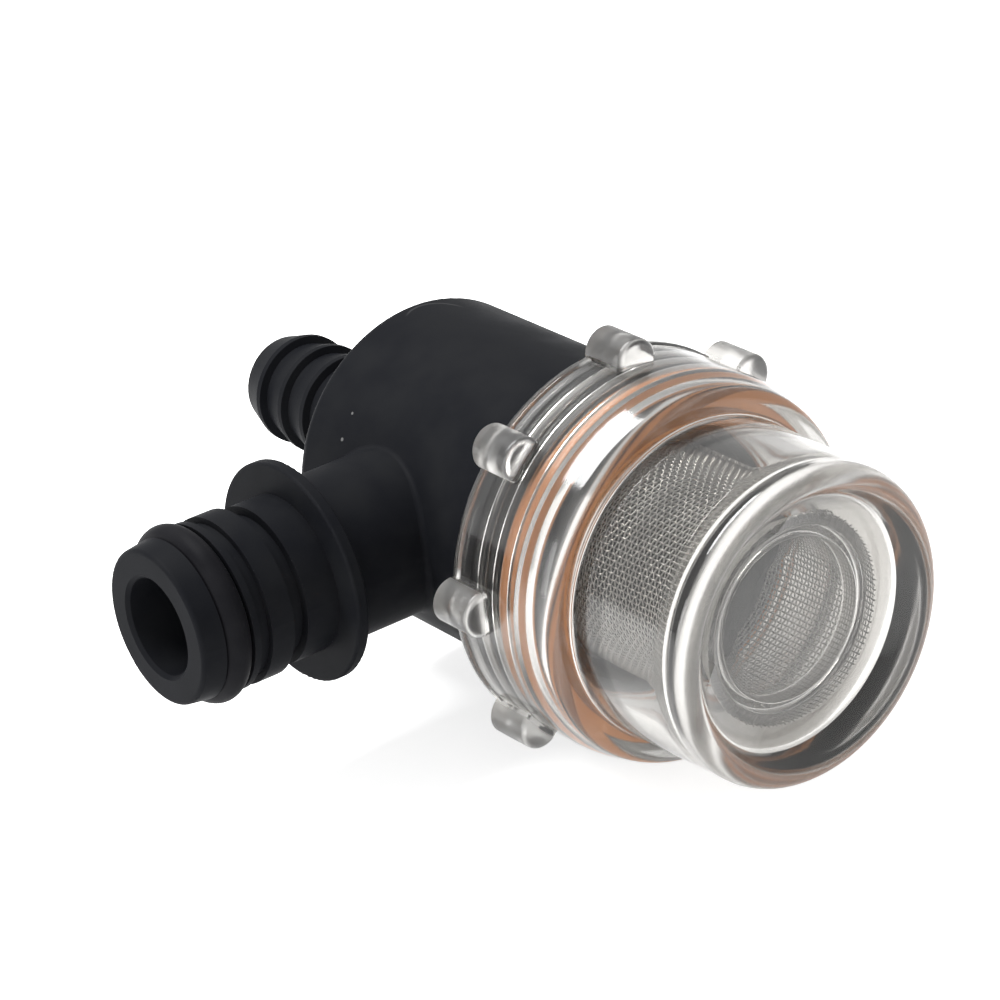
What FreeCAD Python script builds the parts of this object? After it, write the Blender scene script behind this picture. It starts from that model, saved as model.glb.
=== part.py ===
"""Sea water strainer: black housing, clear screw-on bowl and wire-cloth screen.

The housing is one moulding. It has a hose barb on its closed end, a plug-in port on
its side and a threaded spigot at its open end. The bowl screws over the spigot and
squeezes a round seal. The screen is a rolled tube of wire cloth between the two.

Units are millimetres. X runs along the bowl, -Y is the way the plug points and Z is up.
The pieces are built round the body's axis, with the port's axis at X = 0. They are then
moved, so that the origin is the middle of the plug's flange face.
"""
import FreeCAD, Part
import math
import os

V = FreeCAD.Vector

# Housing, along X from the port's axis
body_radius = 21.25
body_back = 17.8
body_edge_round = 1.5
end_wall = 3.0
spigot_step = 0.85
spigot_length = 6.9
spigot_front = 31.3
spigot_edge = 0.3
spigot_face = 3.2
nose_wall = 1.9
nose_length = 2.5

# Inner tube, which carries the screen
tube_wall = 1.6
tube_stop_front = 31.0
tube_stop_step = 1.15
tube_tip_length = 6.0
tube_tip_edge = 0.4

# Hose barb on the closed end
barb_length = 33.6
barb_tip_radius = 6.4
barb_root_radius = 6.9
barb_crest_radius = 7.9
barb_crest_land = 0.8
barb_shoulder = 0.35
barb_pitch = 5.2
barb_first_crest = 4.5
barb_count = 4
barb_bore_radius = 4.75

# Plug-in port, along -Y from the body's axis
neck_radius = 11.3
neck_round = 0.8
flange_reach = 35.15
flange_radius = 15.0
flange_thickness = 1.8
flange_edge_round = 0.4
collar_radius = 10.8
collar_length = 4.85
clip_slot_radius = 9.6
clip_slot_width = 2.4
barrel_radius = 11.35
barrel_length = 3.4
relief_radius = 10.5
relief_width = 1.7
wall_behind_seal = 1.0
plug_seal_section = 3.7
plug_seal_squeeze = 0.1
plug_seal_proud = 0.8
plug_seal_play = 0.25
plug_nose_length = 3.35
plug_nose_taper = 0.45
plug_nose_round = 0.6
port_bore_radius = 6.6
port_mouth_bevel = 0.5

# Seal between the housing and the bowl
seal_section = 3.3
seal_squeeze = 0.3
seal_grip = 0.1

# Clear bowl
thread_room = 2.15
ring_wall = 1.6
ring_length = 11.1
lip_height = 0.3
lip_length = 1.3
shoulder_start = 1.9
shoulder_length = 5.2
shoulder_drop = 1.15
shoulder_round = 9.0
brow_round = 1.8
foot_round = 0.5
bowl_wall = 2.5
bowl_nose_play = 0.1
bowl_depth = 22.2
bowl_draft = 1.1
bowl_corner_round = 1.5
window_thickness = 2.1
window_radius = 13.0
rim_width = 4.0
rim_height = 1.35
rim_crest = 2.8
rim_outer_round = 2.0
rim_inner_round = 0.9
dish_depth = 1.9
rib_gap = 2.1
rib_wall = 1.2
rib_length = 3.0
lug_count = 8
lug_offset = -2.0
lug_radius = 3.05
lug_height = 0.35
lug_length = 6.8
lug_edge_bevel = 0.8

# Wire-cloth screen
screen_room = 2.2
cloth_thickness = 0.5
cloth_ridge = 0.15
cloth_ridge_width = 0.7
screen_clearance = 0.25
screen_end_play = 0.2
gap_columns = 12
gap_rows = 4
gap_share = 0.68
seam_width = 3.0
seam_angle = 60.0
end_margin = 1.2

# Sizes that follow from the ones above
spigot_radius = body_radius + spigot_step
nose_radius = spigot_radius - spigot_face
chamber_radius = nose_radius - nose_wall
bowl_bore_radius = nose_radius + bowl_nose_play
screen_radius = chamber_radius - screen_room
nose_front = spigot_front + nose_length
bowl_seat = spigot_front + seal_section - seal_squeeze
ring_bore_radius = spigot_radius + thread_room
ring_radius = ring_bore_radius + ring_wall
ring_back = bowl_seat - ring_length
window_back = bowl_seat + bowl_depth
window_front = window_back + window_thickness
rim_base = window_front + dish_depth
cloth_bore_radius = screen_radius - cloth_thickness
rib_radius = cloth_bore_radius - rib_gap - rib_wall
tube_tip_radius = cloth_bore_radius - screen_clearance
tube_stop_radius = tube_tip_radius + tube_stop_step
tube_bore_radius = tube_tip_radius - tube_wall
screen_front = window_back - screen_end_play
plug_seal_bore = barrel_radius + plug_seal_proud - plug_seal_section
plug_seal_slot = plug_seal_section + plug_seal_play


def path(*points):
    """Straight edges through (along, out) points of a half section."""
    places = [V(along, out, 0) for along, out in points]
    return [Part.LineSegment(a, b).toShape() for a, b in zip(places, places[1:])]


def bend(start, middle, end):
    """A circular arc through three (along, out) points of a half section."""
    places = [V(along, out, 0) for along, out in (start, middle, end)]
    return [Part.Arc(*places).toShape()]


def corner(before, point, after, radius):
    """The start, middle and end of the arc that rounds one corner of a half section."""
    place = V(point[0], point[1], 0)
    back = (V(before[0], before[1], 0) - place).normalize()
    ahead = (V(after[0], after[1], 0) - place).normalize()
    half = back.getAngle(ahead) / 2
    reach = radius / math.tan(half)
    middle = (back + ahead).normalize() * (radius / math.sin(half) - radius)
    ends = [place + back * reach, place + middle, place + ahead * reach]
    return [(end.x, end.y) for end in ends]


def rounded(points, radii):
    """Edges of a closed half section, with some of its corners rounded.

    radii maps the index of a point to the radius of its corner.
    """
    edges = []
    count = len(points)
    joints = []
    for index, point in enumerate(points):
        if index in radii:
            joints.append(corner(points[index - 1], point, points[(index + 1) % count], radii[index]))
        else:
            joints.append([point])
    for index, joint in enumerate(joints):
        if len(joint) == 3:
            edges += bend(*joint)
        edges += path(joint[-1], joints[(index + 1) % count][0])
    return edges


def turned(edges):
    """The solid that a closed half section makes when it is turned round the X axis."""
    wire = Part.Wire(Part.__sortEdges__(edges))
    return Part.Face(wire).revolve(V(0, 0, 0), V(1, 0, 0), 360)


def rod(radius, start, end):
    """A plain round bar along X."""
    return Part.makeCylinder(radius, end - start, V(start, 0, 0), V(1, 0, 0))


def towards_plug(shape):
    """Turn a shape built along +X so that it runs along -Y."""
    placed = shape.copy()
    placed.rotate(V(0, 0, 0), V(0, 0, 1), -90)
    return placed


def body_blank():
    """The housing's outside without its barb and port, still solid."""
    points = [
        (-body_back, 0),
        (-body_back, body_radius),
        (spigot_front - spigot_length, body_radius),
        (spigot_front - spigot_length, spigot_radius),
        (spigot_front - spigot_edge, spigot_radius),
        (spigot_front, spigot_radius - spigot_edge),
        (spigot_front, nose_radius),
        (nose_front, nose_radius),
        (nose_front, 0),
    ]
    return turned(rounded(points, {1: body_edge_round}))


def barb_blank():
    """The hose barb: ridges that grow from the tip and drop off towards the body."""
    tip = -body_back - barb_length
    points = [(tip, 0), (tip, barb_tip_radius)]
    for ridge in range(barb_count):
        crest = tip + barb_first_crest + ridge * barb_pitch
        points.append((crest, barb_crest_radius))
        points.append((crest + barb_crest_land, barb_crest_radius))
        points.append((crest + barb_crest_land + barb_shoulder, barb_root_radius))
        if ridge < barb_count - 1:
            points.append((crest + barb_crest_land + 2 * barb_shoulder, barb_root_radius))
    points.append((-body_back + end_wall / 2, barb_root_radius))
    points.append((-body_back + end_wall / 2, 0))
    return turned(rounded(points, {1: barb_root_radius - barb_tip_radius}))


def port_blank():
    """The side neck, its flange and the plug with its grooves, still solid."""
    steps = [
        (neck_radius, flange_reach - flange_thickness),
        (flange_radius, flange_thickness),
        (collar_radius, collar_length),
        (clip_slot_radius, clip_slot_width),
        (barrel_radius, barrel_length),
        (relief_radius, relief_width),
        (barrel_radius, wall_behind_seal),
        (plug_seal_bore, plug_seal_slot),
    ]
    points = [(0, 0)]
    along = 0
    for radius, length in steps:
        points.append((along, radius))
        along += length
        points.append((along, radius))
    tip = along + plug_nose_length
    points.append((along, barrel_radius - plug_nose_taper))
    points.append((tip, barrel_radius - 2 * plug_nose_taper))
    points.append((tip, 0))
    flange = points.index((flange_reach, flange_radius))
    nose = len(points) - 2
    radii = {flange - 1: flange_edge_round, flange: flange_edge_round, nose: plug_nose_round}
    return towards_plug(turned(rounded(points, radii)))


def plug_tip():
    """How far the plug's end face is from the body's axis."""
    lengths = [collar_length, clip_slot_width, barrel_length, relief_width]
    return flange_reach + sum(lengths) + wall_behind_seal + plug_seal_slot + plug_nose_length


def plug_seal_middle():
    """How far the middle of the plug's seal is from the body's axis."""
    return plug_tip() - plug_nose_length - plug_seal_slot / 2


def port_passage():
    """The round way through the port, with a bevel at its mouth."""
    tip = plug_tip()
    points = [
        (0, 0),
        (0, port_bore_radius),
        (tip - port_mouth_bevel, port_bore_radius),
        (tip, port_bore_radius + port_mouth_bevel),
        (tip, 0),
    ]
    return towards_plug(turned(path(*points, points[0])))


def inner_tube():
    """The tube inside the housing, with a stop and a tip that the screen slips over."""
    tip = tube_stop_front + tube_tip_length
    points = [
        (-body_back + end_wall / 2, tube_bore_radius),
        (-body_back + end_wall / 2, tube_stop_radius),
        (tube_stop_front, tube_stop_radius),
        (tube_stop_front, tube_tip_radius),
        (tip - tube_tip_edge, tube_tip_radius),
        (tip, tube_tip_radius - tube_tip_edge),
        (tip, tube_bore_radius),
    ]
    return turned(path(*points, points[0]))


def round_the_neck(housing):
    """Round the inside corner where the port's neck leaves the body."""
    edges = []
    for edge in housing.Edges:
        box = edge.BoundBox
        if abs(box.XLength - 2 * neck_radius) < 0.1 and box.YLength > 1 and box.YMax < -body_radius / 2:
            edges.append(edge)
    return housing.makeFillet(neck_round, edges)


def make_housing():
    """The black moulding: body, barb, port and inner tube in one piece."""
    outside = body_blank().fuse(port_blank()).removeSplitter()
    outside = round_the_neck(outside)
    chamber = rod(chamber_radius, -body_back + end_wall, nose_front)
    shell = outside.fuse(barb_blank()).cut(chamber).cut(port_passage())
    bore = rod(barb_bore_radius, -body_back - barb_length, 0)
    tube_bore = rod(tube_bore_radius, -body_back + end_wall, nose_front)
    return shell.fuse(inner_tube()).cut(bore).cut(tube_bore).removeSplitter()


def make_plug_seal():
    """The round rubber seal in the plug's groove, stretched flat against its floor."""
    middle = plug_seal_middle()
    radius = plug_seal_section / 2
    centre = plug_seal_bore + radius - plug_seal_squeeze
    ring = Part.makeTorus(centre, radius, V(middle, 0, 0), V(1, 0, 0))
    return towards_plug(ring.cut(rod(plug_seal_bore, middle - radius, middle + radius)))


def make_bowl_seal():
    """The round seal on the nose, squeezed between the spigot's face and the bowl's seat."""
    radius = seal_section / 2
    middle = (spigot_front + bowl_seat) / 2
    ring = Part.makeTorus(nose_radius + radius - seal_grip, radius, V(middle, 0, 0), V(1, 0, 0))
    between = rod(ring_bore_radius, spigot_front, bowl_seat)
    return ring.common(between).cut(rod(nose_radius, spigot_front - radius, bowl_seat + radius))


def bowl_blank():
    """The bowl without its lugs: threaded ring, shoulder, wall, rim and dished window."""
    lean = math.tan(math.radians(bowl_draft))
    root = bowl_bore_radius + bowl_wall
    turn = bowl_seat + shoulder_start
    brow = turn + shoulder_length
    rim_top = rim_base + rim_height
    rim_radius = root - (rim_top - brow) * lean
    points = [
        (window_back, 0),
        (window_front, 0),
        (window_front, window_radius),
        (rim_base, rim_radius - rim_width),
        (rim_top, rim_radius - rim_crest),
        (rim_top, rim_radius),
        (brow, root),
        (brow, ring_radius - shoulder_drop),
        (turn, ring_radius),
        (ring_back + lip_length, ring_radius),
        (ring_back + lip_length - lip_height, ring_radius + lip_height),
        (ring_back, ring_radius + lip_height),
        (ring_back, ring_bore_radius),
        (bowl_seat, ring_bore_radius),
        (bowl_seat, bowl_bore_radius),
        (window_back, bowl_bore_radius - bowl_depth * lean),
        (window_back, rib_radius + rib_wall),
        (window_back - rib_length, rib_radius + rib_wall),
        (window_back - rib_length, rib_radius),
        (window_back, rib_radius),
    ]
    rim = points.index((rim_top, rim_radius))
    foot = points.index((brow, root))
    deep = points.index((window_back, rib_radius + rib_wall)) - 1
    radii = {rim - 1: rim_inner_round, rim: rim_outer_round, foot: foot_round, foot + 1: brow_round,
             foot + 2: shoulder_round, deep: bowl_corner_round}
    return turned(rounded(points, radii))


def make_lug(index):
    """One of the half-round grips on the ring, sunk into its wall."""
    lug = rod(lug_radius, ring_back, ring_back + lug_length)
    front = [edge for edge in lug.Edges if abs(edge.BoundBox.XMin - ring_back - lug_length) < 1e-6]
    lug = lug.makeChamfer(lug_edge_bevel, front)
    lug.translate(V(0, ring_radius + lug_height, 0))
    lug.rotate(V(0, 0, 0), V(1, 0, 0), lug_offset + index * 360 / lug_count)
    return lug


def make_bowl():
    """The clear moulding: threaded ring with its lugs, shoulder, wall and end window."""
    lugs = [make_lug(index) for index in range(lug_count)]
    return bowl_blank().fuse(lugs).cut(rod(ring_bore_radius, ring_back, bowl_seat)).removeSplitter()


def cloth_gap(column, start, length, width):
    """A radial cutter for one gap in the cloth."""
    cutter = Part.makeBox(length, screen_radius, width, V(start, cloth_bore_radius / 2, -width / 2))
    cutter.rotate(V(0, 0, 0), V(1, 0, 0), seam_angle + (column + 0.5) * 360 / gap_columns)
    return cutter


def make_screen():
    """The rolled tube of wire cloth, as one wall with ridges, gaps and a lapped seam."""
    start = tube_stop_front
    wall = rod(screen_radius, start, screen_front)
    pitch = (screen_front - start - 2 * end_margin) / gap_rows
    for row in range(gap_rows + 1):
        middle = start + end_margin + row * pitch
        wall = wall.fuse(rod(screen_radius + cloth_ridge, middle - cloth_ridge_width / 2,
                             middle + cloth_ridge_width / 2))
    seam = Part.makeBox(screen_front - start, screen_radius + cloth_ridge, seam_width,
                        V(start, 0, -seam_width / 2))
    seam.rotate(V(0, 0, 0), V(1, 0, 0), seam_angle)
    wall = wall.fuse(seam).cut(rod(cloth_bore_radius, start, screen_front))
    width = gap_share * 2 * math.pi * cloth_bore_radius / gap_columns
    cutters = []
    for row in range(gap_rows):
        gap_start = start + end_margin + (row + (1 - gap_share) / 2) * pitch
        for column in range(gap_columns):
            cutters.append(cloth_gap(column, gap_start, gap_share * pitch, width))
    return wall.cut(cutters).removeSplitter()


def save(name, shape):
    """Move one piece into the part's frame and write it as a STEP file."""
    placed = shape.copy()
    placed.translate(V(0, flange_reach, 0))
    placed.exportStep("parts/" + name + ".step")
    box = placed.BoundBox
    print(f"{name}: valid {placed.isValid()}, {len(placed.Solids)} solid, {placed.Volume:.1f} mm3, "
          f"x {box.XMin:.2f} to {box.XMax:.2f}, y {box.YMin:.2f} to {box.YMax:.2f}")


def main():
    """Build every piece and write one STEP file for each."""
    os.makedirs("parts", exist_ok=True)
    save("housing", make_housing())
    save("plug_seal", make_plug_seal())
    save("bowl_seal", make_bowl_seal())
    save("bowl", make_bowl())
    save("screen_mesh", make_screen())


main()
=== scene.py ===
"""Looks of an in-line sea water strainer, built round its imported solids.

The housing and the plug's seal keep their solids and get their finishes here. The clear bowl, its
squeezed seal and the screen's wire cloth are made again in finer form, and both halves of the
bowl's screw thread are added. Lengths are metres, and angles are degrees unless they are turns.
X runs along the bowl, -Y along the plug and Z is up.
"""
import logging
import math
from collections.abc import Callable
from dataclasses import dataclass
from enum import Enum

import bmesh
import bpy
from mathutils import Euler, Matrix, Vector


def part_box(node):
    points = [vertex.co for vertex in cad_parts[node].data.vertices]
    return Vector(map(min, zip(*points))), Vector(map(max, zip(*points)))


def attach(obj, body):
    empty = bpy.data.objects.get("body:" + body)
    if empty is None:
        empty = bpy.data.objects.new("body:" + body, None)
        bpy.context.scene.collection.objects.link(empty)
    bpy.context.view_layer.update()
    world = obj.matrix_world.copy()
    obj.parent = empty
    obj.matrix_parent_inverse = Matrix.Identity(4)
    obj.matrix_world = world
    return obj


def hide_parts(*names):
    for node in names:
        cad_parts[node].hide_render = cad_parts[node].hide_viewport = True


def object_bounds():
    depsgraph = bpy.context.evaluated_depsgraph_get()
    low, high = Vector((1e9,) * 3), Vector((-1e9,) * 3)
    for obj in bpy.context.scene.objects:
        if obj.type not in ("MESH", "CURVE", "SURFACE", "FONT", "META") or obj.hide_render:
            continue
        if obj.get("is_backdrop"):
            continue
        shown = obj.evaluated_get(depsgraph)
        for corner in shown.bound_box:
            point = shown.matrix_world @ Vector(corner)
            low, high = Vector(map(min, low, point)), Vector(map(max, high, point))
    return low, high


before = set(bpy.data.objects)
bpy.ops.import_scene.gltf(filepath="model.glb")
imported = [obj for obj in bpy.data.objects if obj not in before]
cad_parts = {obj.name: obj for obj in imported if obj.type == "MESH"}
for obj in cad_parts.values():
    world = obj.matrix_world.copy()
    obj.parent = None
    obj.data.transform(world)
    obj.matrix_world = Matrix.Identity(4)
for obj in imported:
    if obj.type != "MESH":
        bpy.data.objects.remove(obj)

Colour = tuple[float, float, float, float]
Section = list[tuple[float, float]]

MM = 0.001
WELD = 0.001 * MM  # closer points of a turned form become one
SLIVER = 0.003 * MM  # shorter edges of a union are taken out
TURN_STEPS = 192  # steps of a full turn, in turned forms and in the thread
PITCH = 3.0 * MM  # the bowl's travel in one turn
SQUEEZE = 0.04 * MM  # how far the seal is pressed into the bowl's seat, so that it shows through
WHITE: Colour = (1, 1, 1, 1)
log = logging.getLogger("strainer")


class Slot(Enum):
    """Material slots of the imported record."""

    BLACK_PLASTIC = "black_plastic"
    BLACK_RUBBER = "black_rubber"
    ORANGE_SILICONE = "orange_silicone"
    CLEAR_PLASTIC = "clear_plastic"
    STEEL_CLOTH = "steel_cloth"


class Body(Enum):
    """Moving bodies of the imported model."""

    HOUSING = "housing"
    SCREEN = "screen"
    BOWL = "bowl"


# ---------------------------------------------------------------- mesh tools


def nearest(bm: bmesh.types.BMesh, corner: tuple[float, float]) -> bmesh.types.BMVert:
    """Find the point of a half section that stands at a corner."""
    place = Vector((*corner, 0))
    return min(bm.verts, key=lambda vert: (vert.co - place).length)


def off_run(edge: bmesh.types.BMEdge, spot: tuple[float, float]) -> float:
    """Tell how far a spot is from an edge of a half section."""
    first, last = (vert.co for vert in edge.verts)
    place = Vector((*spot, 0))
    share = min(max((place - first).dot(last - first) / (last - first).length_squared, 0.0), 1.0)
    return (first.lerp(last, share) - place).length


def lathe(section: Section, steps: int, rounds: dict[int, tuple[float, int]],
          cuts: dict[int, int], ring: bool = False) -> bmesh.types.BMesh:
    """Turn a half section round the X axis.

    Args:
        section: (along, out) corners, from one point of the axis to another.
        steps: Number of steps in the full turn.
        rounds: Setback from the corner and number of segments, by corner.
        cuts: Number of extra loops on the run that starts at a corner.
        ring: Whether the section closes on itself, clear of the axis.

    Returns:
        A closed mesh with its faces outwards.
    """
    bm = bmesh.new()
    corners = [bm.verts.new((along, out, 0)) for along, out in section]
    for pair in zip(corners, corners[1:] + corners[:1] if ring else corners[1:]):
        bm.edges.new(pair)
    for index, (setback, segments) in rounds.items():
        bmesh.ops.bevel(bm, geom=[nearest(bm, section[index])], offset=setback,
                        offset_type="OFFSET", segments=segments, profile=0.5, affect="VERTICES",
                        material=-1)
    for index, count in cuts.items():
        middle = [(a + b) / 2 for a, b in zip(section[index], section[index + 1])]
        run = min(bm.edges, key=lambda edge: off_run(edge, middle))
        bmesh.ops.subdivide_edges(bm, edges=[run], cuts=count)
    bmesh.ops.spin(bm, geom=bm.verts[:] + bm.edges[:], cent=(0, 0, 0), axis=(1, 0, 0),
                   angle=math.tau, steps=steps, use_merge=True)
    bmesh.ops.remove_doubles(bm, verts=bm.verts, dist=WELD)
    bmesh.ops.recalc_face_normals(bm, faces=bm.faces)
    return bm


def sweep(section: Section, places: list[Matrix]) -> bmesh.types.BMesh:
    """Carry a closed section through a run of places and cap both ends.

    Args:
        section: (x, y) corners of the section in its own plane.
        places: Where the section stands, one after the other.

    Returns:
        A closed mesh with its faces outwards.
    """
    bm = bmesh.new()
    start = [bm.verts.new(places[0] @ Vector((x, y, 0))) for x, y in section]
    loop = [bm.edges.new(pair) for pair in zip(start, start[1:] + start[:1])]
    for before, after in zip(places, places[1:]):
        grown = bmesh.ops.extrude_edge_only(bm, edges=loop)["geom"]
        moved = [item for item in grown if isinstance(item, bmesh.types.BMVert)]
        loop = [item for item in grown if isinstance(item, bmesh.types.BMEdge) and item.is_boundary]
        bmesh.ops.transform(bm, matrix=after @ before.inverted(), verts=moved)
    bmesh.ops.holes_fill(bm, edges=[edge for edge in bm.edges if edge.is_boundary], sides=0)
    bmesh.ops.recalc_face_normals(bm, faces=bm.faces)
    return bm


def polygon(radius: float, sides: int) -> Section:
    """Corners of a small round section."""
    turns = [math.tau * side / sides for side in range(sides)]
    return [(radius * math.cos(turn), radius * math.sin(turn)) for turn in turns]


def gather(parts: list[tuple[bmesh.types.BMesh, list[Matrix]]]) -> bmesh.types.BMesh:
    """Set copies of small meshes in one mesh.

    Args:
        parts: Each mesh with the places of its copies.

    Returns:
        One mesh that holds every copy.
    """
    whole = bmesh.new()
    for part, places in parts:
        pattern = bpy.data.meshes.new("pattern")
        part.to_mesh(pattern)
        part.free()
        for place in places:
            first = len(whole.verts)
            whole.from_mesh(pattern)
            whole.verts.ensure_lookup_table()
            bmesh.ops.transform(whole, matrix=place, verts=whole.verts[first:])
        bpy.data.meshes.remove(pattern)
    return whole


def make_object(name: str, bm: bmesh.types.BMesh, place: Matrix) -> bpy.types.Object:
    """Turn a mesh into an object of the scene.

    Args:
        name: Name of the object and its mesh.
        bm: The mesh, which is freed.
        place: Where the mesh goes in the model.

    Returns:
        The object, at the origin.
    """
    bm.transform(place)
    mesh = bpy.data.meshes.new(name)
    bm.to_mesh(mesh)
    bm.free()
    piece = bpy.data.objects.new(name, mesh)
    bpy.context.scene.collection.objects.link(piece)
    return piece


def unite(base: bpy.types.Object, tools: list[bpy.types.Object]) -> None:
    """Join closed solids into one, remove the ones that were joined on, and merge slivers.

    Args:
        base: The solid that stays, with a new mesh.
        tools: The solids that are joined to it.
    """
    for tool in tools:
        step = base.modifiers.new(tool.name, "BOOLEAN")
        step.operation = "UNION"
        step.solver = "EXACT"
        step.object = tool
    bpy.context.view_layer.update()
    graph = bpy.context.evaluated_depsgraph_get()
    joined = bpy.data.meshes.new_from_object(base.evaluated_get(graph))
    bm = bmesh.new()
    bm.from_mesh(joined)
    bmesh.ops.remove_doubles(bm, verts=bm.verts, dist=SLIVER)
    bmesh.ops.dissolve_degenerate(bm, edges=bm.edges, dist=SLIVER)
    bm.to_mesh(joined)
    bm.free()
    base.modifiers.clear()
    old = base.data
    base.data = joined
    joined.name = base.name
    bpy.data.meshes.remove(old)
    for tool in tools:
        spent = tool.data
        bpy.data.objects.remove(tool)
        bpy.data.meshes.remove(spent)


def shade(piece: bpy.types.Object, crease: float) -> None:
    """Shade a piece smooth, apart from its sharp edges.

    Args:
        piece: The object to shade.
        crease: Angle between faces, in degrees, from which an edge stays sharp.
    """
    piece.data.shade_smooth()
    piece.data.set_sharp_from_angle(angle=math.radians(crease))


def dress(piece: bpy.types.Object, material: bpy.types.Material, body: Body) -> None:
    """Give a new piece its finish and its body.

    Args:
        piece: The new object.
        material: Its finish.
        body: The moving body that it rides on.
    """
    piece.data.materials.clear()
    piece.data.materials.append(material)
    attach(piece, body.value)
    log.info("%s: %d faces, rides on %s", piece.name, len(piece.data.polygons), body.value)


# ---------------------------------------------------------------- shader tools


class Sheet:
    """Adds nodes to one node tree and joins them up."""

    def __init__(self, tree: bpy.types.NodeTree) -> None:
        """Start on a tree that has no nodes yet."""
        self.tree = tree

    def node(self, kind: str, settings: dict[str, object] | None = None,
             **values: object) -> bpy.types.Node:
        """Add one node.

        Args:
            kind: The node's type.
            settings: Attributes of the node itself.
            values: Constants or sockets for its inputs. A name is the socket's, with _ for a space.

        Returns:
            The node.
        """
        made = self.tree.nodes.new(kind)
        for name, value in (settings or {}).items():
            setattr(made, name, value)
        for name, value in values.items():
            self.feed(made.inputs[name.replace("_", " ")], value)
        return made

    def feed(self, socket: bpy.types.NodeSocket, value: object) -> None:
        """Link a socket to another one, or set its constant."""
        if isinstance(value, bpy.types.NodeSocket):
            self.tree.links.new(value, socket)
        else:
            socket.default_value = value

    def maths(self, operation: str, first: object, second: object = 0.0) -> bpy.types.NodeSocket:
        """Put two values through a Math node and return its result."""
        made = self.tree.nodes.new("ShaderNodeMath")
        made.operation = operation
        self.feed(made.inputs[0], first)
        self.feed(made.inputs[1], second)
        return made.outputs[0]

    def spread(self, value: bpy.types.NodeSocket, low: float, high: float,
               to_low: float = 0.0, to_high: float = 1.0) -> bpy.types.NodeSocket:
        """Map a value from one range to another, held inside it."""
        made = self.node("ShaderNodeMapRange", {"clamp": True}, Value=value, From_Min=low,
                         From_Max=high, To_Min=to_low, To_Max=to_high)
        return made.outputs[0]

    def blend(self, share: object, first: object, second: object) -> bpy.types.NodeSocket:
        """Mix two colours and return the result."""
        # The node's colours are inputs 6 and 7 and output 2. Those before are for other types.
        made = self.tree.nodes.new("ShaderNodeMix")
        made.data_type = "RGBA"
        self.feed(made.inputs[0], share)
        self.feed(made.inputs[6], first)
        self.feed(made.inputs[7], second)
        return made.outputs[2]

    def group(self, shared: bpy.types.NodeTree, **values: object) -> bpy.types.Node:
        """Place a shared node group and set its inputs."""
        made = self.tree.nodes.new("ShaderNodeGroup")
        made.node_tree = shared
        for name, value in values.items():
            self.feed(made.inputs[name.replace("_", " ")], value)
        return made


@dataclass(frozen=True)
class SharedGroup:
    """A shader node group, built once and placed in several finishes."""

    name: str
    inputs: tuple[tuple[str, str, object], ...]
    outputs: tuple[tuple[str, str], ...]
    fill: Callable[["Sheet", bpy.types.Node, bpy.types.Node], None]

    def tree(self) -> bpy.types.NodeTree:
        """Return the group, and build it when it is first asked for."""
        found = bpy.data.node_groups.get(self.name)
        if found is not None:
            return found
        tree = bpy.data.node_groups.new(self.name, "ShaderNodeTree")
        for label, kind, start in self.inputs:
            socket = tree.interface.new_socket(label, in_out="INPUT", socket_type=kind)
            socket.default_value = start
        for label, kind in self.outputs:
            tree.interface.new_socket(label, in_out="OUTPUT", socket_type=kind)
        self.fill(Sheet(tree), tree.nodes.new("NodeGroupInput"), tree.nodes.new("NodeGroupOutput"))
        return tree


def fill_grain(sheet: Sheet, given: bpy.types.Node, result: bpy.types.Node) -> None:
    """A fine moulded grain and a slow change of shade."""
    place = sheet.node("ShaderNodeTexCoord").outputs["Object"]
    fine = sheet.node("ShaderNodeTexNoise", Vector=place, Scale=given.outputs["Scale"], Detail=3.0,
                      Roughness=0.6)
    slow_scale = sheet.maths("MULTIPLY", given.outputs["Scale"], 0.03)
    slow = sheet.node("ShaderNodeTexNoise", Vector=place, Scale=slow_scale, Detail=2.0)
    sheet.feed(result.inputs["Height"], fine.outputs["Fac"])
    sheet.feed(result.inputs["Shade"], sheet.spread(slow.outputs["Fac"], 0.35, 0.65))


def fill_dust(sheet: Sheet, given: bpy.types.Node, result: bpy.types.Node) -> None:
    """A few specks of dust of different sizes."""
    place = sheet.node("ShaderNodeTexCoord").outputs["Object"]
    cells = sheet.node("ShaderNodeTexVoronoi", Vector=place, Scale=given.outputs["Scale"])
    luck = sheet.node("ShaderNodeSeparateColor", Color=cells.outputs["Color"])
    kept = sheet.maths("LESS_THAN", luck.outputs["Red"], given.outputs["Amount"])
    reach = sheet.maths("MULTIPLY", luck.outputs["Green"], given.outputs["Speck"])
    near = sheet.maths("LESS_THAN", cells.outputs["Distance"], reach)
    sheet.feed(result.inputs["Mask"], sheet.maths("MULTIPLY", kept, near))


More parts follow.
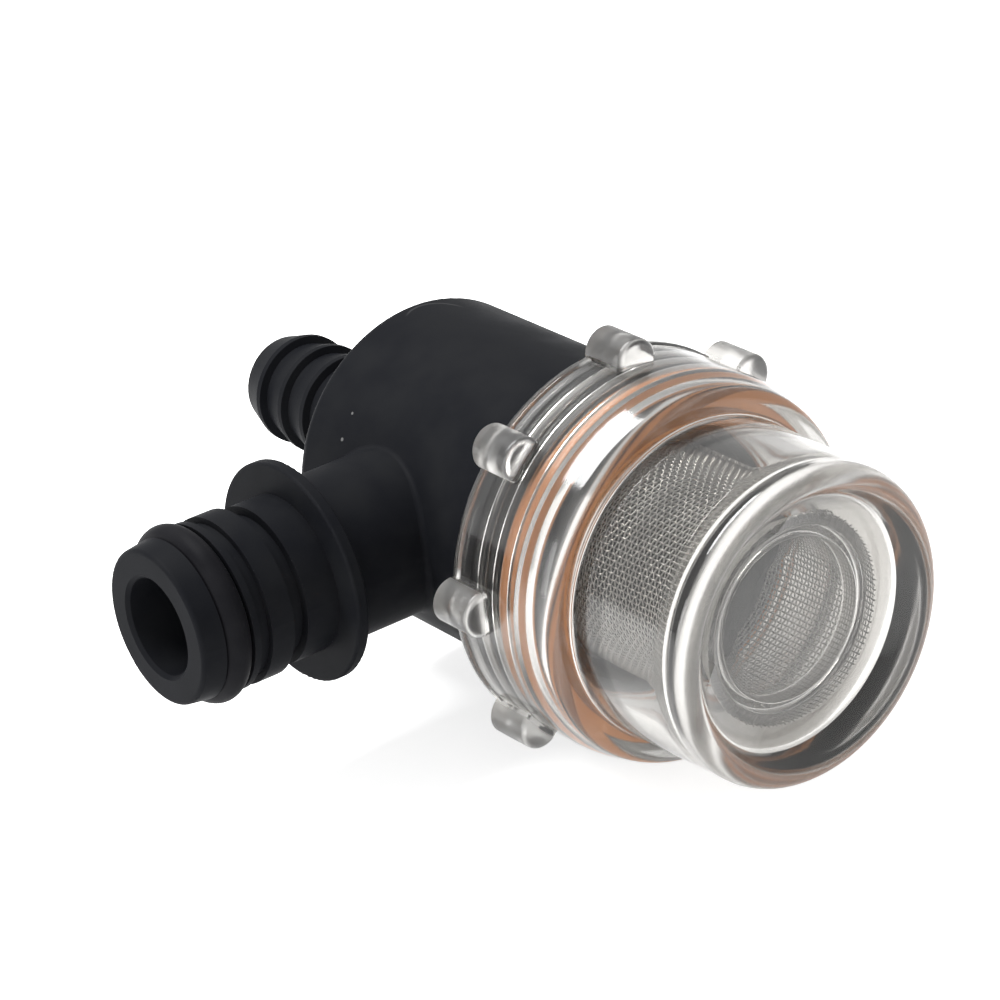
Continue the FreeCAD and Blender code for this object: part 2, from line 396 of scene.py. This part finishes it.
def fill_ring_mark(sheet: Sheet, given: bpy.types.Node, result: bpy.types.Node) -> None:
    """A thin ring on the surface, the mark that a moulding pin or gate leaves."""
    place = sheet.node("ShaderNodeTexCoord").outputs["Object"]
    away = sheet.node("ShaderNodeVectorMath", {"operation": "DISTANCE"})
    sheet.feed(away.inputs[0], place)
    sheet.feed(away.inputs[1], given.outputs["Centre"])
    past = sheet.maths("SUBTRACT", away.outputs["Value"], given.outputs["Radius"])
    share = sheet.maths("DIVIDE", sheet.maths("ABSOLUTE", past), given.outputs["Width"])
    ring = sheet.spread(share, 1.0, 0.2)
    spoke = sheet.node("ShaderNodeVectorMath", {"operation": "SUBTRACT"})
    sheet.feed(spoke.inputs[0], place)
    sheet.feed(spoke.inputs[1], given.outputs["Centre"])
    ahead = sheet.node("ShaderNodeVectorMath", {"operation": "DOT_PRODUCT"})
    sheet.feed(ahead.inputs[0], spoke.outputs["Vector"])
    sheet.feed(ahead.inputs[1], given.outputs["Facing"])
    side = sheet.maths("DIVIDE", ahead.outputs["Value"], given.outputs["Radius"])
    sheet.feed(result.inputs["Mask"], sheet.maths("MULTIPLY", ring, sheet.spread(side, 0.45, 0.75)))


def fill_outside(sheet: Sheet, given: bpy.types.Node, result: bpy.types.Node) -> None:
    """What lies further from an axis along X than a radius."""
    place = sheet.node("ShaderNodeTexCoord").outputs["Object"]
    spoke = sheet.node("ShaderNodeVectorMath", {"operation": "SUBTRACT"})
    sheet.feed(spoke.inputs[0], place)
    sheet.feed(spoke.inputs[1], given.outputs["Centre"])
    flat = sheet.node("ShaderNodeVectorMath", {"operation": "MULTIPLY"})
    sheet.feed(flat.inputs[0], spoke.outputs["Vector"])
    sheet.feed(flat.inputs[1], (0, 1, 1))
    away = sheet.node("ShaderNodeVectorMath", {"operation": "LENGTH"})
    sheet.feed(away.inputs[0], flat.outputs["Vector"])
    past = sheet.maths("SUBTRACT", away.outputs["Value"], given.outputs["Radius"])
    share = sheet.maths("DIVIDE", past, given.outputs["Blend"])
    sheet.feed(result.inputs["Mask"], sheet.spread(share, 0, 1))


def fill_ahead(sheet: Sheet, given: bpy.types.Node, result: bpy.types.Node) -> None:
    """What lies past a distance along X."""
    place = sheet.node("ShaderNodeTexCoord").outputs["Object"]
    parts = sheet.node("ShaderNodeSeparateXYZ", Vector=place)
    past = sheet.maths("SUBTRACT", parts.outputs["X"], given.outputs["Along"])
    share = sheet.maths("DIVIDE", past, given.outputs["Blend"])
    sheet.feed(result.inputs["Mask"], sheet.spread(share, 0, 1))


GRAIN = SharedGroup("moulded_grain", (("Scale", "NodeSocketFloat", 4000.0),),
                    (("Height", "NodeSocketFloat"), ("Shade", "NodeSocketFloat")), fill_grain)
DUST = SharedGroup("dust_specks", (("Scale", "NodeSocketFloat", 400.0),
                                   ("Amount", "NodeSocketFloat", 0.1),
                                   ("Speck", "NodeSocketFloat", 0.1)),
                   (("Mask", "NodeSocketFloat"),), fill_dust)
RING_MARK = SharedGroup("ring_mark", (("Centre", "NodeSocketVector", (0.0, 0.0, 0.0)),
                                      ("Facing", "NodeSocketVector", (1.0, 0.0, 0.0)),
                                      ("Radius", "NodeSocketFloat", 0.002),
                                      ("Width", "NodeSocketFloat", 0.0002)),
                        (("Mask", "NodeSocketFloat"),), fill_ring_mark)
OUTSIDE = SharedGroup("outside_radius", (("Centre", "NodeSocketVector", (0.0, 0.0, 0.0)),
                                         ("Radius", "NodeSocketFloat", 0.02),
                                         ("Blend", "NodeSocketFloat", 0.0003)),
                      (("Mask", "NodeSocketFloat"),), fill_outside)
AHEAD = SharedGroup("ahead_of", (("Along", "NodeSocketFloat", 0.05),
                                 ("Blend", "NodeSocketFloat", 0.0005)),
                    (("Mask", "NodeSocketFloat"),), fill_ahead)


def new_material(name: str) -> tuple[bpy.types.Material, Sheet, bpy.types.Node, bpy.types.Node]:
    """Start a material.

    Args:
        name: Name of the material.

    Returns:
        The material, a sheet on its nodes, its Principled shader and its output.
    """
    material = bpy.data.materials.new(name)
    material.use_nodes = True
    material.node_tree.nodes.clear()
    sheet = Sheet(material.node_tree)
    skin = sheet.node("ShaderNodeBsdfPrincipled")
    output = sheet.node("ShaderNodeOutputMaterial")
    sheet.feed(output.inputs["Surface"], skin.outputs["BSDF"])
    return material, sheet, skin, output


# ---------------------------------------------------------------- finishes


@dataclass(frozen=True)
class MouldedFinish:
    """Opaque plastic or rubber with a moulded grain, a little dust and, if stated, ring marks.

    The marks are (centre, radius) pairs, and each is drawn on the side that it faces.
    """

    name: str
    colour: Colour
    paler: Colour
    roughness: float
    specular: float
    grain_scale: float
    grain_depth: float
    dust_amount: float
    marks: tuple[tuple[Vector, float], ...] = ()
    mark_colour: Colour = (0.06, 0.06, 0.062, 1)
    mark_share: float = 0.5
    mark_width: float = 0.25 * MM
    mark_facing: tuple[float, float, float] = (-0.93, 0.37, 0)
    dust_colour: Colour = (0.12, 0.12, 0.12, 1)
    dust_scale: float = 420.0
    dust_size: float = 0.12

    def build(self) -> bpy.types.Material:
        """Build the material."""
        material, sheet, skin, _ = new_material(self.name)
        grain = sheet.group(GRAIN.tree(), Scale=self.grain_scale)
        dust = sheet.group(DUST.tree(), Scale=self.dust_scale, Amount=self.dust_amount,
                           Speck=self.dust_size)
        base = sheet.blend(grain.outputs["Shade"], self.colour, self.paler)
        height = grain.outputs["Height"]
        for centre, radius in self.marks:
            ring = sheet.group(RING_MARK.tree(), Centre=centre, Facing=self.mark_facing,
                               Radius=radius, Width=self.mark_width)
            share = sheet.maths("MULTIPLY", ring.outputs["Mask"], self.mark_share)
            base = sheet.blend(share, base, self.mark_colour)
            height = sheet.maths("SUBTRACT", height, ring.outputs["Mask"])
        base = sheet.blend(dust.outputs["Mask"], base, self.dust_colour)
        sheet.feed(skin.inputs["Base Color"], base)
        gloss = sheet.spread(grain.outputs["Shade"], 0, 1, self.roughness - 0.05,
                             self.roughness + 0.06)
        sheet.feed(skin.inputs["Roughness"], gloss)
        skin.inputs["Specular IOR Level"].default_value = self.specular
        bump = sheet.node("ShaderNodeBump", Strength=0.6, Distance=self.grain_depth, Height=height)
        sheet.feed(skin.inputs["Normal"], bump.outputs["Normal"])
        return material


@dataclass(frozen=True)
class ClearFinish:
    """Clear moulded plastic with a slow ripple, duller outside some radii and on the rim.

    The frosts are (radius, roughness) pairs round the axis. The rim is what lies past rim_start
    along X. A shadow ray passes straight through, only tinted, so that the inside is lit.
    """

    name: str
    colour: Colour
    roughness: float
    index: float
    clearness: float
    axis: Vector
    frosts: tuple[tuple[float, float], ...]
    rim_start: float
    rim_frost: float
    specular: float
    grain_scale: float = 2600.0
    ripple_depth: float = 0.05 * MM
    frost_blend: float = 0.3 * MM
    rim_blend: float = 1.0 * MM
    shadow_tint: Colour = (0.7, 0.7, 0.69, 1)

    def build(self) -> bpy.types.Material:
        """Build the material."""
        material, sheet, skin, output = new_material(self.name)
        grain = sheet.group(GRAIN.tree(), Scale=self.grain_scale)
        # The grey colour is painted shade: it darkens what is seen through and in the plastic,
        # standing in for darker surroundings than the white room.
        skin.inputs["Base Color"].default_value = self.colour
        skin.inputs["Transmission Weight"].default_value = self.clearness
        skin.inputs["IOR"].default_value = self.index
        skin.inputs["Specular IOR Level"].default_value = self.specular
        haze = sheet.spread(grain.outputs["Shade"], 0, 1, self.roughness * 0.6,
                            self.roughness * 1.4)
        for radius, frost in self.frosts:
            past = sheet.group(OUTSIDE.tree(), Centre=self.axis, Radius=radius,
                               Blend=self.frost_blend)
            dull = sheet.maths("MULTIPLY", past.outputs["Mask"], frost)
            haze = sheet.maths("MAXIMUM", haze, dull)
        rim = sheet.group(AHEAD.tree(), Along=self.rim_start, Blend=self.rim_blend)
        dull = sheet.maths("MULTIPLY", rim.outputs["Mask"], self.rim_frost)
        sheet.feed(skin.inputs["Roughness"], sheet.maths("MAXIMUM", haze, dull))
        bump = sheet.node("ShaderNodeBump", Strength=0.1, Distance=self.ripple_depth,
                          Height=grain.outputs["Shade"])
        sheet.feed(skin.inputs["Normal"], bump.outputs["Normal"])
        path = sheet.node("ShaderNodeLightPath")
        clear = sheet.node("ShaderNodeBsdfTransparent", Color=self.shadow_tint)
        mix = sheet.node("ShaderNodeMixShader")
        sheet.feed(mix.inputs[0], path.outputs["Is Shadow Ray"])
        sheet.feed(mix.inputs[1], skin.outputs["BSDF"])
        sheet.feed(mix.inputs[2], clear.outputs["BSDF"])
        sheet.feed(output.inputs["Surface"], mix.outputs[0])
        return material


@dataclass(frozen=True)
class WireFinish:
    """Bright drawn steel wire."""

    name: str
    colour: Colour
    darker: Colour
    roughness: float
    grain_scale: float = 9000.0

    def build(self) -> bpy.types.Material:
        """Build the material."""
        material, sheet, skin, _ = new_material(self.name)
        grain = sheet.group(GRAIN.tree(), Scale=self.grain_scale)
        base = sheet.blend(grain.outputs["Shade"], self.colour, self.darker)
        sheet.feed(skin.inputs["Base Color"], base)
        skin.inputs["Metallic"].default_value = 1.0
        gloss = sheet.spread(grain.outputs["Height"], 0.3, 0.7, self.roughness - 0.06,
                             self.roughness + 0.08)
        sheet.feed(skin.inputs["Roughness"], gloss)
        return material


@dataclass(frozen=True)
class Finishes:
    """Every material of the strainer, built once."""

    black_plastic: bpy.types.Material
    black_rubber: bpy.types.Material
    orange_silicone: bpy.types.Material
    clear_plastic: bpy.types.Material
    steel_wire: bpy.types.Material

    @classmethod
    def build(cls, axis: Vector) -> "Finishes":
        """Build the five materials.

        Args:
            axis: A point of the bowl's axis.

        Returns:
            The set of materials.
        """
        pin_mark = (Vector((-11.4, 35.3, 21.25)) * MM, 4.5 * MM)
        return cls(
            black_plastic=MouldedFinish(
                "black_plastic", colour=(0.0075, 0.008, 0.0098, 1),
                paler=(0.0105, 0.011, 0.0125, 1), roughness=0.5, specular=0.02,
                grain_scale=5200.0, grain_depth=0.02 * MM, dust_amount=0.05,
                marks=(pin_mark,)).build(),
            black_rubber=MouldedFinish(
                "black_rubber", colour=(0.007, 0.007, 0.0085, 1), paler=(0.010, 0.010, 0.0115, 1),
                roughness=0.5, specular=0.03, grain_scale=7000.0, grain_depth=0.01 * MM,
                dust_amount=0.03).build(),
            orange_silicone=MouldedFinish(
                "orange_silicone", colour=(0.62, 0.26, 0.10, 1), paler=(0.70, 0.32, 0.14, 1),
                roughness=0.22, specular=0.5, grain_scale=3000.0, grain_depth=0.004 * MM,
                dust_amount=0.0).build(),
            # The clear plastic's grey colour is painted shade, standing in for darker surroundings
            # seen through it.
            clear_plastic=ClearFinish(
                "clear_plastic", colour=(0.55, 0.54, 0.52, 1), roughness=0.035, index=1.52,
                clearness=0.99, axis=axis, frosts=((21.8 * MM, 0.14), (26.2 * MM, 0.3)),
                rim_start=59.6 * MM, rim_frost=0.24, specular=0.3).build(),
            steel_wire=WireFinish(
                "steel_wire", colour=(0.46, 0.455, 0.44, 1), darker=(0.34, 0.335, 0.325, 1),
                roughness=0.3).build(),
        )


# ---------------------------------------------------------------- sub-assemblies


@dataclass
class ScrewThread:
    """One rounded ridge of the bowl's screw thread, wound right-handed round the X axis.

    The ridge rises from the root's radius to the crest's, outwards or inwards, and is sunk below
    its root to join its wall. Its middle is where it would stand along X at turn 0.
    """

    root: float
    crest: float
    width: float
    middle: float
    first_turn: float
    last_turn: float
    sunk: float
    pitch: float = PITCH
    sides: int = 16
    fade_turn: float = 0.09
    end_height: float = 0.12

    def build(self) -> bmesh.types.BMesh:
        """Build the ridge round the X axis, with run-out ends."""
        away = 1.0 if self.crest > self.root else -1.0
        rise = abs(self.crest - self.root)
        section = [(-self.width / 2, -away * self.sunk), (self.width / 2, -away * self.sunk)]
        for side in range(self.sides + 1):
            off = 1 - 2 * side / self.sides
            section.append((self.width / 2 * off, away * rise * (1 - off * off)))
        count = round((self.last_turn - self.first_turn) * TURN_STEPS)
        places = []
        for step in range(count + 1):
            turn = self.first_turn + step / TURN_STEPS
            left = min(turn - self.first_turn, self.last_turn - turn) / self.fade_turn
            height = self.end_height + (1 - self.end_height) * min(max(left, 0.0), 1.0)
            places.append(Matrix.Rotation(math.tau * turn, 4, "X")
                          @ Matrix.Translation((self.middle + self.pitch * turn, self.root, 0))
                          @ Matrix.Diagonal((1, height, 1, 1)))
        return sweep(section, places)


@dataclass
class Housing:
    """The black housing with its seals and the male half of the thread.

    The bowl's seal ends against the bowl's seat with two lips, and a groove lies between them.
    """

    axis: Matrix
    thread: ScrewThread
    seal_end: float
    seal_thickness: float = 3.0 * MM
    seal_bore: float = 18.9 * MM
    seal_radius: float = 23.05 * MM
    seal_round: float = 0.35 * MM
    inner_lip: float = 0.7 * MM
    outer_lip: float = 1.7 * MM
    groove: float = 0.3 * MM
    seal_crease: float = 60.0
    thread_crease: float = 35.0

    def seal(self) -> bmesh.types.BMesh:
        """Build the bowl's seal as it lies, with both lips squeezed against the bowl's seat."""
        start = self.seal_end - self.seal_thickness
        floor = self.seal_end - self.groove
        section = [(start, self.seal_bore), (self.seal_end, self.seal_bore),
                   (self.seal_end, self.seal_bore + self.inner_lip),
                   (floor, self.seal_bore + self.inner_lip + self.groove),
                   (floor, self.seal_radius - self.outer_lip - self.groove),
                   (self.seal_end, self.seal_radius - self.outer_lip),
                   (self.seal_end, self.seal_radius), (start, self.seal_radius)]
        rounds = {corner: (self.seal_round, 6) for corner in (0, 1, 6, 7)}
        rounds.update({corner: (self.groove / 3, 3) for corner in (2, 3, 4, 5)})
        return lathe(section, TURN_STEPS, rounds, {}, ring=True)

    def build(self, finishes: Finishes) -> None:
        """Dress the solids, and add the squeezed seal and the thread ridge."""
        kept = {"housing": finishes.black_plastic, "plug_seal": finishes.black_rubber}
        for node, finish in kept.items():
            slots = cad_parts[node].data.materials
            slots.clear()
            slots.append(finish)
        seal = make_object("squeezed_seal", self.seal(), self.axis)
        shade(seal, self.seal_crease)
        dress(seal, finishes.orange_silicone, Body.HOUSING)
        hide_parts("bowl_seal")
        ridge = make_object("housing_thread", self.thread.build(), self.axis)
        shade(ridge, self.thread_crease)
        dress(ridge, finishes.black_plastic, Body.HOUSING)


@dataclass
class Bowl:
    """The clear bowl: threaded ring with grips, shoulder, wall and dished window.

    Its lengths along X are measured from the ring's back, one after the other: the ring's depth to
    the seat, the shoulder and the wall, the window, the dish and the rim.
    """

    axis: Matrix
    thread: ScrewThread
    back: float
    ring_bore: float = 24.25 * MM
    ring_radius: float = 25.85 * MM
    ring_depth: float = 11.06 * MM
    lip: float = 0.3 * MM
    lip_length: float = 1.3 * MM
    shoulder: float = 1.9 * MM
    shoulder_run: float = 5.2 * MM
    shoulder_drop: float = 1.15 * MM
    bore: float = 19.0 * MM
    wall: float = 2.5 * MM
    depth: float = 22.24 * MM
    draft: float = 1.1
    window: float = 2.1 * MM
    window_radius: float = 13.0 * MM
    rim_width: float = 4.0 * MM
    rim_height: float = 1.35 * MM
    rim_crest: float = 2.8 * MM
    dish: float = 1.9 * MM
    rib_radius: float = 11.0 * MM
    rib_wall: float = 1.2 * MM
    rib_length: float = 3.0 * MM
    lug_count: int = 8
    lug_turn: float = -2.0
    lug_radius: float = 3.05 * MM
    lug_rise: float = 0.35 * MM
    lug_length: float = 6.8 * MM
    lug_edge: float = 0.8 * MM
    crease: float = 32.0

    @property
    def seat(self) -> float:
        """Where the seal's face meets the bowl."""
        return self.back + self.ring_depth

    def shell(self) -> bmesh.types.BMesh:
        """Build the turned form without its grips and thread.

        The section runs from the window's face over the rim, down the wall's outside, over the
        shoulder and the ring, and back inside to the seat, the wall, the rib and the window.
        """
        seat = self.seat
        brow = seat + self.shoulder + self.shoulder_run
        inside = seat + self.depth
        face = inside + self.window
        rim = face + self.dish
        top = rim + self.rim_height
        lean = math.tan(math.radians(self.draft))
        root = self.bore + self.wall
        crown = root - (top - brow) * lean
        deep = self.bore - self.depth * lean
        section = [
            (face, 0), (face, self.window_radius), (rim, crown - self.rim_width),
            (top, crown - self.rim_crest), (top, crown),
            (brow, root), (brow, self.ring_radius - self.shoulder_drop),
            (seat + self.shoulder, self.ring_radius),
            (self.back + self.lip_length, self.ring_radius),
            (self.back + self.lip_length - self.lip, self.ring_radius + self.lip),
            (self.back, self.ring_radius + self.lip), (self.back, self.ring_bore),
            (seat, self.ring_bore), (seat, self.bore),
            (inside, deep), (inside, self.rib_radius + self.rib_wall),
            (inside - self.rib_length, self.rib_radius + self.rib_wall),
            (inside - self.rib_length, self.rib_radius), (inside, self.rib_radius), (inside, 0),
        ]
        # By corner of the section: setback and segments of its round, then extra loops after it.
        rounds = {
            1: (0.5 * MM, 4), 2: (0.5 * MM, 4), 3: (0.6 * MM, 6), 4: (2.0 * MM, 12),
            5: (0.5 * MM, 6), 6: (1.5 * MM, 12), 7: (1.0 * MM, 10), 9: (0.12 * MM, 3),
            10: (0.25 * MM, 4), 11: (0.2 * MM, 3), 12: (0.3 * MM, 4), 13: (0.2 * MM, 3),
            14: (1.5 * MM, 8), 15: (0.25 * MM, 3), 16: (0.3 * MM, 4), 17: (0.3 * MM, 4),
            18: (0.25 * MM, 3),
        }
        cuts = {0: 4, 4: 8, 6: 3, 7: 10, 11: 10, 13: 16, 14: 3, 18: 4}
        return lathe(section, TURN_STEPS, rounds, cuts)

    def lug(self, index: int) -> bmesh.types.BMesh:
        """Build one half-round grip, closed inside the ring's wall."""
        bm = bmesh.new()
        bmesh.ops.create_circle(bm, cap_ends=True, radius=self.lug_radius, segments=48)
        front = bmesh.ops.extrude_face_region(bm, geom=bm.faces[:])["geom"]
        moved = [item for item in front if isinstance(item, bmesh.types.BMVert)]
        rim = [item for item in front if isinstance(item, bmesh.types.BMEdge)]
        bmesh.ops.translate(bm, vec=(0, 0, self.lug_length), verts=moved)
        bmesh.ops.bevel(bm, geom=rim, offset=self.lug_edge, offset_type="OFFSET", segments=6,
                        profile=0.5, affect="EDGES", material=-1)
        bm.transform(Matrix.Rotation(math.radians(90), 4, "Y"))
        bm.transform(Matrix.Translation((self.back, self.ring_radius + self.lug_rise, 0)))
        bmesh.ops.bisect_plane(bm, geom=bm.verts[:] + bm.edges[:] + bm.faces[:], dist=1e-7,
                               plane_co=(0, (self.ring_bore + self.ring_radius) / 2, 0),
                               plane_no=(0, 1, 0), clear_inner=True)
        bmesh.ops.holes_fill(bm, edges=[edge for edge in bm.edges if edge.is_boundary], sides=0)
        bmesh.ops.recalc_face_normals(bm, faces=bm.faces)
        turn = self.lug_turn + index * 360 / self.lug_count
        bm.transform(Matrix.Rotation(math.radians(turn), 4, "X"))
        return bm

    def build(self, finishes: Finishes) -> None:
        """Join the form, the grips and the thread into one clear moulding."""
        bowl = make_object("clear_bowl", self.shell(), self.axis)
        joined = [make_object(f"grip_{index}", self.lug(index), self.axis)
                  for index in range(self.lug_count)]
        joined.append(make_object("bowl_thread", self.thread.build(), self.axis))
        unite(bowl, joined)
        shade(bowl, self.crease)
        dress(bowl, finishes.clear_plastic, Body.BOWL)
        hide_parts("bowl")


@dataclass
class Screen:
    """The rolled tube of plain-woven wire cloth, with its lapped seam.

    The cloth's last wires run over its first ones. Each wire that goes round rises to that lap
    over lap_rise half steps, and ends lap_spare of a step past it.
    """

    axis: Matrix
    start: float
    end: float
    radius: float = 14.5 * MM
    wire: float = 0.24 * MM
    wires_along: int = 126
    wires_round: int = 40
    margin: float = 0.5 * MM
    seam_turn: float = 60.0
    lap_wires: int = 3
    lap_spare: float = 0.4
    lap_rise: int = 6
    sides: int = 6
    crease: float = 60.0

    @property
    def wave(self) -> float:
        """Height of a wire's wave to each side."""
        return self.wire / 2

    @property
    def step(self) -> float:
        """Distance between two wires that go round."""
        return (self.end - self.start - 2 * self.margin) / (self.wires_round - 1)

    @property
    def lap_lift(self) -> float:
        """How far the lapped cloth stands out from the cloth under it."""
        return 2.1 * self.wire

    def long_wire(self, parity: int, lift: float) -> bmesh.types.BMesh:
        """Build one wire that runs along the tube.

        Args:
            parity: 0 or 1, which way its wave starts.
            lift: How far it stands out from the tube's middle radius.
        """
        places = []
        count = 4 * (self.wires_round - 1) // 2
        stops = [self.start] + [self.start + self.margin + self.step * index / 2
                                for index in range(count + 1)] + [self.end]
        for along in stops:
            phase = math.pi * ((along - self.start - self.margin) / self.step + parity)
            out = self.radius + lift - self.wave * math.cos(phase)
            places.append(Matrix.Translation((along, out, 0))
                          @ Matrix.Rotation(math.radians(90), 4, "Y"))
        return sweep(polygon(self.wire / 2, self.sides), places)

    def round_wire(self, parity: int) -> bmesh.types.BMesh:
        """Build one wire that runs round the tube and laps over its own start.

        Args:
            parity: 0 or 1, which way its wave starts.
        """
        places = []
        full_turn = 2 * self.wires_along
        lap = round(2 * (self.lap_wires + self.lap_spare))
        for index in range(-1, full_turn + lap):
            turn = index * (math.tau / full_turn)
            phase = self.wires_along / 2 * turn + math.pi * parity
            lift = min(max((index - full_turn + self.lap_rise + 1) / self.lap_rise, 0.0), 1.0)
            out = (self.radius + self.wave * math.cos(phase)
                   + lift * lift * (3 - 2 * lift) * self.lap_lift)
            places.append(Matrix.Rotation(turn, 4, "X") @ Matrix.Translation((0, out, 0)))
        return sweep(polygon(self.wire / 2, self.sides), places)

    def build(self, finishes: Finishes) -> None:
        """Weave the cloth in two pieces."""
        seam = Matrix.Rotation(math.radians(self.seam_turn), 4, "X")
        turns = [Matrix.Rotation(math.tau * index / self.wires_along, 4, "X")
                 for index in range(self.wires_along)]
        along = gather([(self.long_wire(0, 0), turns[0::2]), (self.long_wire(1, 0), turns[1::2]),
                        (self.long_wire(0, self.lap_lift), turns[0:self.lap_wires:2]),
                        (self.long_wire(1, self.lap_lift), turns[1:self.lap_wires:2])])
        stops = [Matrix.Translation((self.start + self.margin + self.step * index, 0, 0))
                 for index in range(self.wires_round)]
        across = gather([(self.round_wire(0), stops[0::2]), (self.round_wire(1), stops[1::2])])
        for name, bm in (("screen_wires_along", along), ("screen_wires_round", across)):
            piece = make_object(name, bm, self.axis @ seam)
            shade(piece, self.crease)
            dress(piece, finishes.steel_wire, Body.SCREEN)
            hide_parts("screen_mesh")


# ---------------------------------------------------------------- studio


@dataclass(frozen=True)
class SoftBox:
    """One oblong soft lamp."""

    name: str
    place: tuple[float, float, float]
    aim: tuple[float, float, float]
    along: tuple[float, float, float]
    width: float
    length: float
    watts: float

    def build(self) -> None:
        """Hang the lamp."""
        data = bpy.data.lights.new(self.name, "AREA")
        data.shape = "RECTANGLE"
        data.size = self.width
        data.size_y = self.length
        data.energy = self.watts
        lamp = bpy.data.objects.new(self.name, data)
        lamp.location = self.place
        back = (Vector(self.place) - Vector(self.aim)).normalized()
        side = Vector(self.along).cross(back).normalized()
        lamp.rotation_euler = Matrix((side, back.cross(side), back)).transposed().to_euler()
        bpy.context.scene.collection.objects.link(lamp)


@dataclass(frozen=True)
class Studio:
    """Pale floor, white room, soft lamps and the camera.

    The room's light falls on the object, and the rays that see the room get plain white. The
    floor's glow lifts it towards that white only where it is seen.
    """

    lamps: tuple[SoftBox, ...]
    room_light: float
    floor_side: float
    floor_glow: float
    floor_gap: float
    camera_place: tuple[float, float, float]
    camera_turn: tuple[float, float, float]
    lens: float

    def room(self) -> None:
        """Make the room: white where it is seen, softer where it lights."""
        world = bpy.data.worlds.new("room")
        world.use_nodes = True
        world.node_tree.nodes.clear()
        sheet = Sheet(world.node_tree)
        seen = self.seen(sheet)
        light = sheet.node("ShaderNodeBackground", Color=WHITE, Strength=self.room_light)
        white = sheet.node("ShaderNodeBackground", Color=WHITE, Strength=1.0)
        mix = sheet.node("ShaderNodeMixShader")
        sheet.feed(mix.inputs[0], seen)
        sheet.feed(mix.inputs[1], light.outputs[0])
        sheet.feed(mix.inputs[2], white.outputs[0])
        output = sheet.node("ShaderNodeOutputWorld")
        sheet.feed(output.inputs["Surface"], mix.outputs[0])
        bpy.context.scene.world = world

    @staticmethod
    def seen(sheet: Sheet) -> bpy.types.NodeSocket:
        """Give 1 for camera, glossy and transmission rays."""
        path = sheet.node("ShaderNodeLightPath")
        seen = sheet.maths("MAXIMUM", path.outputs["Is Camera Ray"], path.outputs["Is Glossy Ray"])
        return sheet.maths("MAXIMUM", seen, path.outputs["Is Transmission Ray"])

    def floor(self) -> None:
        """Lay the floor just under the object."""
        bm = bmesh.new()
        bmesh.ops.create_grid(bm, x_segments=8, y_segments=8, size=self.floor_side / 2)
        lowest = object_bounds()[0][2]
        place = Matrix.Translation((0, 0, lowest - self.floor_gap))
        floor = make_object("studio_floor", bm, place)
        material, sheet, skin, output = new_material("floor_white")
        skin.inputs["Base Color"].default_value = (0.92, 0.92, 0.92, 1)
        skin.inputs["Roughness"].default_value = 0.9
        skin.inputs["Specular IOR Level"].default_value = 0.0
        glow = sheet.node("ShaderNodeEmission", Color=WHITE)
        strength = sheet.maths("MULTIPLY", self.seen(sheet), self.floor_glow)
        sheet.feed(glow.inputs["Strength"], strength)
        both = sheet.node("ShaderNodeAddShader")
        sheet.feed(both.inputs[0], skin.outputs["BSDF"])
        sheet.feed(both.inputs[1], glow.outputs["Emission"])
        sheet.feed(output.inputs["Surface"], both.outputs[0])
        floor.data.materials.append(material)
        floor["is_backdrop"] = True

    def camera(self) -> None:
        """Set the camera."""
        data = bpy.data.cameras.new("camera")
        data.lens = self.lens
        data.sensor_width = 36.0
        data.clip_start = 0.01
        camera = bpy.data.objects.new("camera", data)
        camera.location = self.camera_place
        camera.rotation_euler = Euler([math.radians(turn) for turn in self.camera_turn], "XYZ")
        bpy.context.scene.collection.objects.link(camera)
        bpy.context.scene.camera = camera

    def build(self) -> None:
        """Set up the whole studio."""
        self.room()
        self.floor()
        for lamp in self.lamps:
            lamp.build()
        self.camera()
        bpy.context.scene.view_settings.view_transform = "Standard"
        log.info("studio: %d lamps", len(self.lamps))


def main() -> None:
    """Build the strainer and its studio."""
    logging.basicConfig(level=logging.INFO, format="%(name)s: %(message)s")
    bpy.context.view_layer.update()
    low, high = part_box("bowl_seal")
    middle = (low + high) / 2
    axis = Matrix.Translation((0, middle.y, middle.z))
    finishes = Finishes.build(axis.translation)
    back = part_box("bowl")[0].x
    screen_low, screen_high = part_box("screen_mesh")
    male = ScrewThread(root=22.1 * MM, crest=23.9 * MM, width=1.7 * MM, middle=back + 3.2 * MM,
                       first_turn=-0.35, last_turn=1.3, sunk=0.3 * MM)
    female = ScrewThread(root=24.25 * MM, crest=23.15 * MM, width=1.7 * MM,
                         middle=back + 1.7 * MM, first_turn=0.0, last_turn=2.6, sunk=0.4 * MM)
    bowl = Bowl(axis, female, back)
    Housing(axis, male, bowl.seat + SQUEEZE).build(finishes)
    bowl.build(finishes)
    Screen(axis, screen_low.x, screen_high.x).build(finishes)
    Studio(
        lamps=(
            SoftBox("top", place=(-0.19, -0.10, 0.58), aim=(0, 0.03, 0), along=(0, 1, 0),
                    width=0.17, length=0.5, watts=6.0),
            SoftBox("side", place=(-0.08, -0.62, 0.08), aim=(0.03, 0.03, 0), along=(0, 0, 1),
                    width=0.25, length=0.4, watts=1.5),
            SoftBox("fill", place=(0.55, -0.5, 0.3), aim=(0, 0.03, 0), along=(0, 0, 1),
                    width=0.7, length=0.7, watts=1.5),
        ),
        room_light=0.55,
        floor_side=6.0,
        floor_glow=0.62,
        floor_gap=0.2 * MM,
        camera_place=(0.39339, -0.24478, 0.22837),
        camera_turn=(64.354, 5.085, 52.224),
        lens=144.27,
    ).build()


if __name__ == "__main__":
    main()
